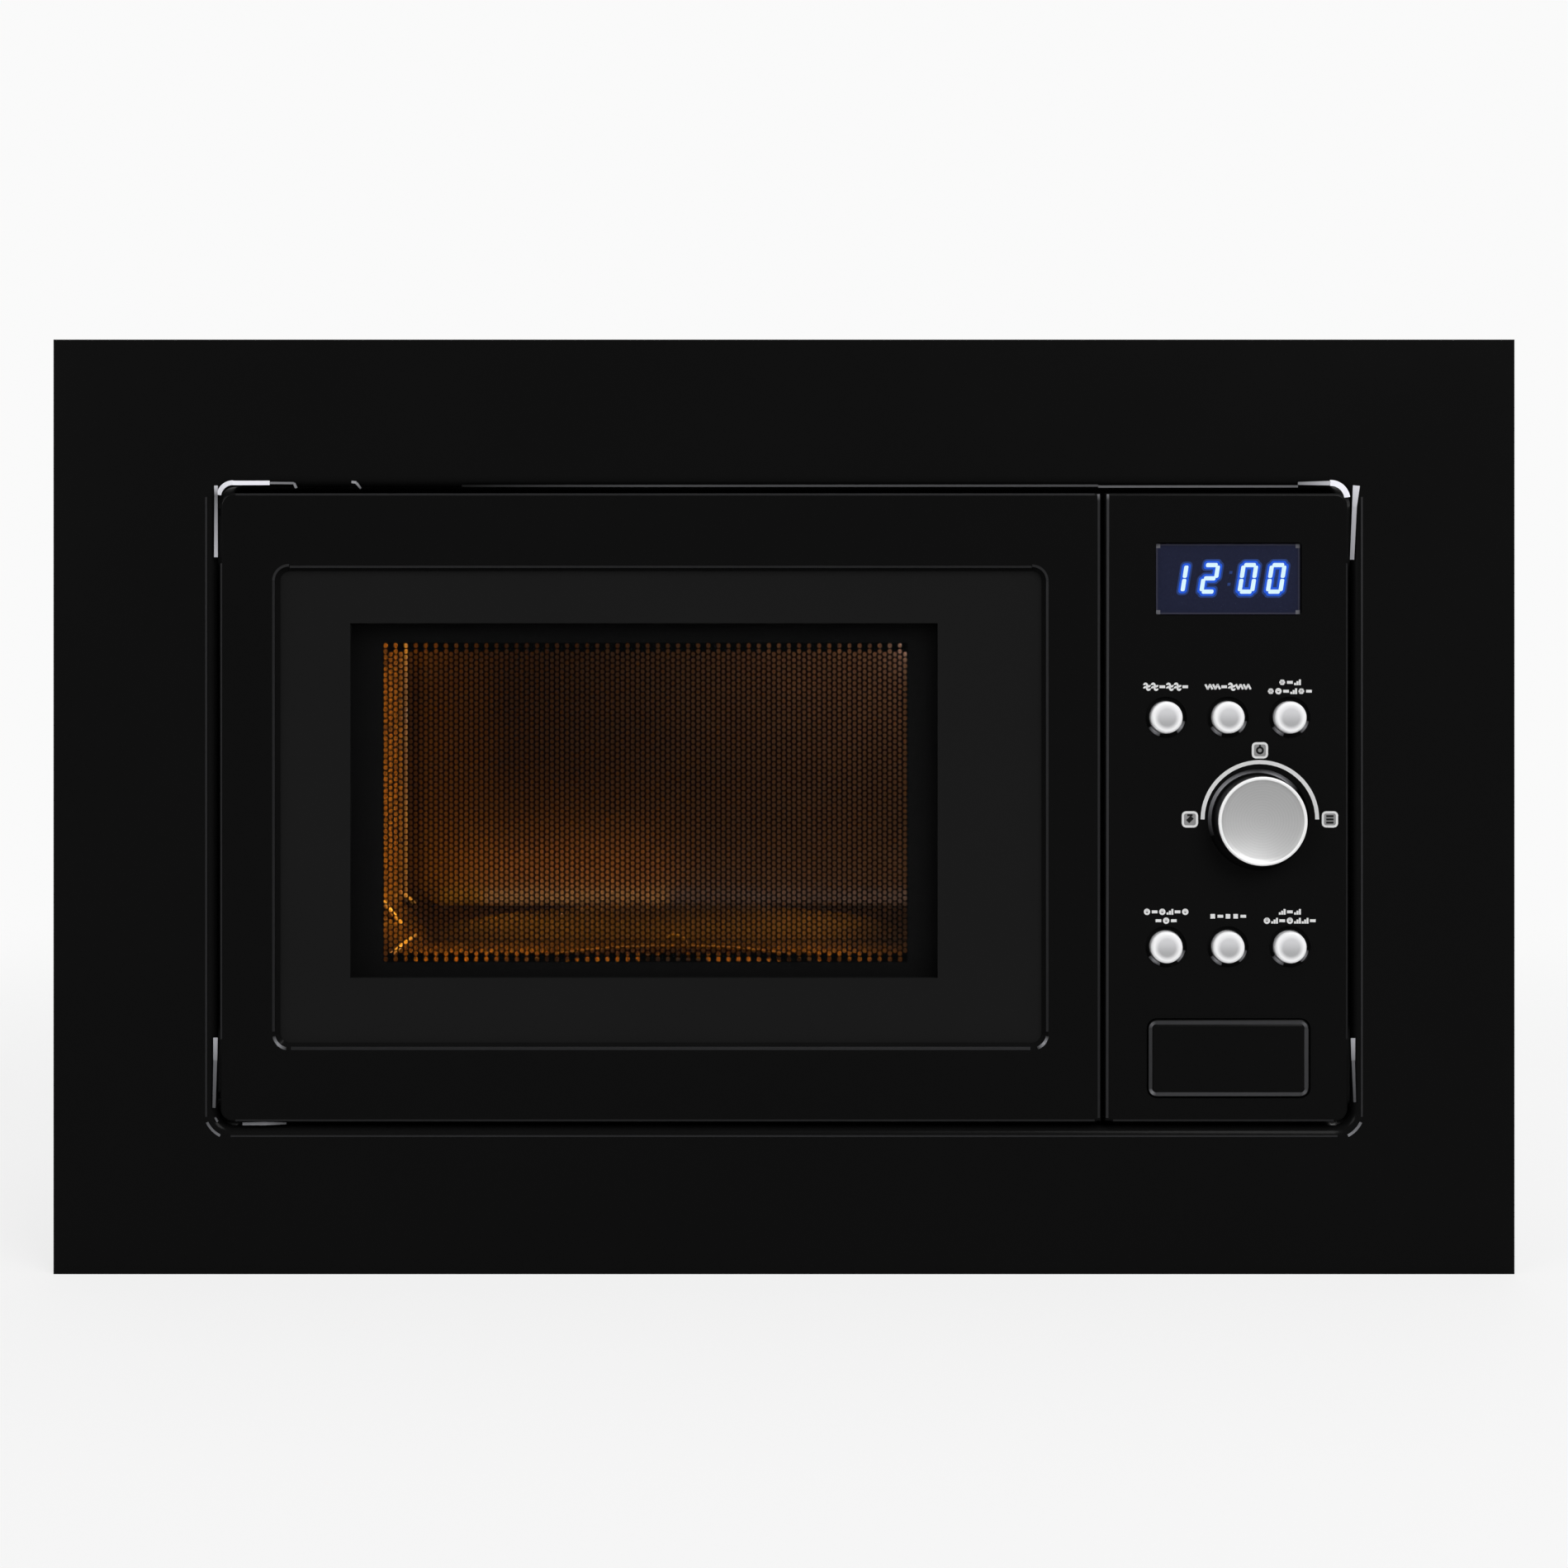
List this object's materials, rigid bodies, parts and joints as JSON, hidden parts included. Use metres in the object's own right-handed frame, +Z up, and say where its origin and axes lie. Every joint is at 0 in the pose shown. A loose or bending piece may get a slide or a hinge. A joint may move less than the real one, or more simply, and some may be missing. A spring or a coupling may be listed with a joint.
{
  "type": "built-in microwave oven",
  "caption": "Built-in microwave oven with grill: black trim frame, side-hinged window door, clock display, push buttons, rotary knob, glass turntable, latch, fan and power parts inside.",
  "frame": {"origin": "middle of the trim frame's lower rear edge: in the plane where the frame meets the cabinet front, level with the cabinet shelf", "axes": "+X to the right seen from the front, +Y to the rear into the cabinet, +Z up"},
  "size_m": [0.594, 0.3554, 0.38],
  "materials": {
    "frame_black": "satin",
    "zinc_steel": "satin",
    "cavity_enamel": "gloss",
    "door_black": "satin",
    "panel_black": "gloss",
    "smoked_glass": "gloss",
    "screen_black": "matte",
    "door_steel": "satin",
    "cover_black": "matte",
    "clear_glass": "gloss",
    "bright_steel": "polished",
    "white_plastic": "satin",
    "silver_plastic": "satin",
    "button_grey": "gloss",
    "display_black": "gloss",
    "board_green": "satin",
    "dark_plastic": "matte",
    "mica": "matte",
    "element_steel": "satin",
    "motor_zinc": "satin",
    "magnetron_metal": "satin",
    "core_iron": "matte"
  },
  "bodies": {
    "case": {"trim_frame": "frame_black", "frame_bracket_left": "zinc_steel", "frame_bracket_right": "zinc_steel", "riser_rail_left": "zinc_steel", "riser_rail_right": "zinc_steel", "front_plate": "zinc_steel", "oven_cavity": "cavity_enamel", "outer_wrap": "zinc_steel", "base_plate": "zinc_steel", "rear_panel": "zinc_steel", "case_screws": "bright_steel", "cord_gland": "dark_plastic", "waveguide_cover": "mica", "oven_lamp": "clear_glass", "lamp_bracket": "zinc_steel", "grill_element": "element_steel", "turntable_motor": "motor_zinc", "waveguide": "zinc_steel", "magnetron": "magnetron_metal", "transformer": "core_iron", "capacitor": "magnetron_metal", "fan_shroud": "dark_plastic", "fan_motor": "zinc_steel", "filter_board": "board_green", "thermal_cutouts": "dark_plastic", "control_panel": "door_black", "display_window": "smoked_glass", "display_module": "display_black", "control_board": "board_green", "encoder": "dark_plastic", "button_spring": "bright_steel", "interlock_bracket": "zinc_steel", "door_switches": "white_plastic", "hinge_arms": "zinc_steel"},
    "door": {"door_frame": "door_black", "door_bezel": "panel_black", "window_glass": "smoked_glass", "perforated_screen": "screen_black", "choke_frame": "door_steel", "inner_glass": "clear_glass", "choke_cover": "cover_black", "hinge_pins": "bright_steel"},
    "latch": {"latch_hooks": "white_plastic"},
    "lever": {"latch_lever": "white_plastic"},
    "open_button": {"door_button": "door_black"},
    "knob_unit": {"knob": "silver_plastic", "encoder_shaft": "bright_steel"},
    "plate_drive": {"glass_turntable": "clear_glass", "turntable_coupler": "white_plastic"},
    "ring": {"roller_ring": "white_plastic"},
    "wheel_1": {"roller_1": "white_plastic"},
    "wheel_2": {"roller_2": "white_plastic"},
    "wheel_3": {"roller_3": "white_plastic"},
    "fan": {"fan_impeller": "dark_plastic"},
    "microwave_button_body": {"microwave_button": "button_grey"},
    "grill_button_body": {"grill_button": "button_grey"},
    "defrost_button_body": {"defrost_button": "button_grey"},
    "clock_button_body": {"clock_button": "button_grey"},
    "stop_button_body": {"stop_button": "button_grey"},
    "start_button_body": {"start_button": "button_grey"}
  },
  "joints": [
    {"name": "door_hinge", "type": "hinge", "parent": "case", "child": "door", "pos_m": [-0.21675, -0.0165, 0.19], "axis": [0, 0, -1], "range_deg": [0, 95]},
    {"name": "door_button_press", "type": "slide", "parent": "case", "child": "open_button", "axis": [0, 1, 0], "range_m": [0, 0.005], "stiffness_N_per_m": 400, "springref_m": -0.002, "deforming": ["button_spring"]},
    {"name": "latch_lever_turn", "type": "hinge", "parent": "case", "child": "lever", "pos_m": [0.133, 0.036, 0.076], "axis": [-1, 0, 0], "range_deg": [0, 13.1]},
    {"name": "latch_lift", "type": "slide", "parent": "door", "child": "latch", "axis": [0, 0, 1], "range_m": [0, 0.003]},
    {"name": "knob_turn", "type": "hinge", "parent": "case", "child": "knob_unit", "pos_m": [0.19245, -0.024, 0.1851], "axis": [0, -1, 0], "continuous": true},
    {"name": "turntable_spin", "type": "hinge", "parent": "case", "child": "plate_drive", "pos_m": [-0.057, 0.1558, 0.1006], "axis": [0, 0, 1], "continuous": true},
    {"name": "roller_ring_spin", "type": "hinge", "parent": "case", "child": "ring", "pos_m": [-0.057, 0.1558, 0.0938], "axis": [0, 0, 1], "continuous": true},
    {"name": "roller_1_spin", "type": "hinge", "parent": "ring", "child": "wheel_1", "pos_m": [-0.057, 0.2408, 0.0938], "axis": [0, 1, 0], "continuous": true},
    {"name": "roller_2_spin", "type": "hinge", "parent": "ring", "child": "wheel_2", "pos_m": [-0.13061, 0.1133, 0.0938], "axis": [-0.866, -0.5, 0], "continuous": true},
    {"name": "roller_3_spin", "type": "hinge", "parent": "ring", "child": "wheel_3", "pos_m": [0.01661, 0.1133, 0.0938], "axis": [0.866, -0.5, 0], "continuous": true},
    {"name": "fan_spin", "type": "hinge", "parent": "case", "child": "fan", "pos_m": [0.1625, 0.268, 0.205], "axis": [0, 1, 0], "continuous": true},
    {"name": "microwave_button_press", "type": "slide", "parent": "case", "child": "microwave_button_body", "axis": [0, 1, 0], "range_m": [0, 0.001], "stiffness_N_per_m": 300, "springref_m": -0.0005},
    {"name": "grill_button_press", "type": "slide", "parent": "case", "child": "grill_button_body", "axis": [0, 1, 0], "range_m": [0, 0.001], "stiffness_N_per_m": 300, "springref_m": -0.0005},
    {"name": "defrost_button_press", "type": "slide", "parent": "case", "child": "defrost_button_body", "axis": [0, 1, 0], "range_m": [0, 0.001], "stiffness_N_per_m": 300, "springref_m": -0.0005},
    {"name": "clock_button_press", "type": "slide", "parent": "case", "child": "clock_button_body", "axis": [0, 1, 0], "range_m": [0, 0.001], "stiffness_N_per_m": 300, "springref_m": -0.0005},
    {"name": "stop_button_press", "type": "slide", "parent": "case", "child": "stop_button_body", "axis": [0, 1, 0], "range_m": [0, 0.001], "stiffness_N_per_m": 300, "springref_m": -0.0005},
    {"name": "start_button_press", "type": "slide", "parent": "case", "child": "start_button_body", "axis": [0, 1, 0], "range_m": [0, 0.001], "stiffness_N_per_m": 300, "springref_m": -0.0005}
  ],
  "couplings": [
    {"joint": "latch_lever_turn", "follows": "door_button_press", "rad_per_m": 45.455},
    {"joint": "latch_lift", "follows": "door_button_press", "ratio": 0.6},
    {"joint": "roller_ring_spin", "follows": "turntable_spin", "ratio": 0.5},
    {"joint": "roller_1_spin", "follows": "turntable_spin", "ratio": -6.5385},
    {"joint": "roller_2_spin", "follows": "turntable_spin", "ratio": -6.5385},
    {"joint": "roller_3_spin", "follows": "turntable_spin", "ratio": -6.5385}
  ]
}
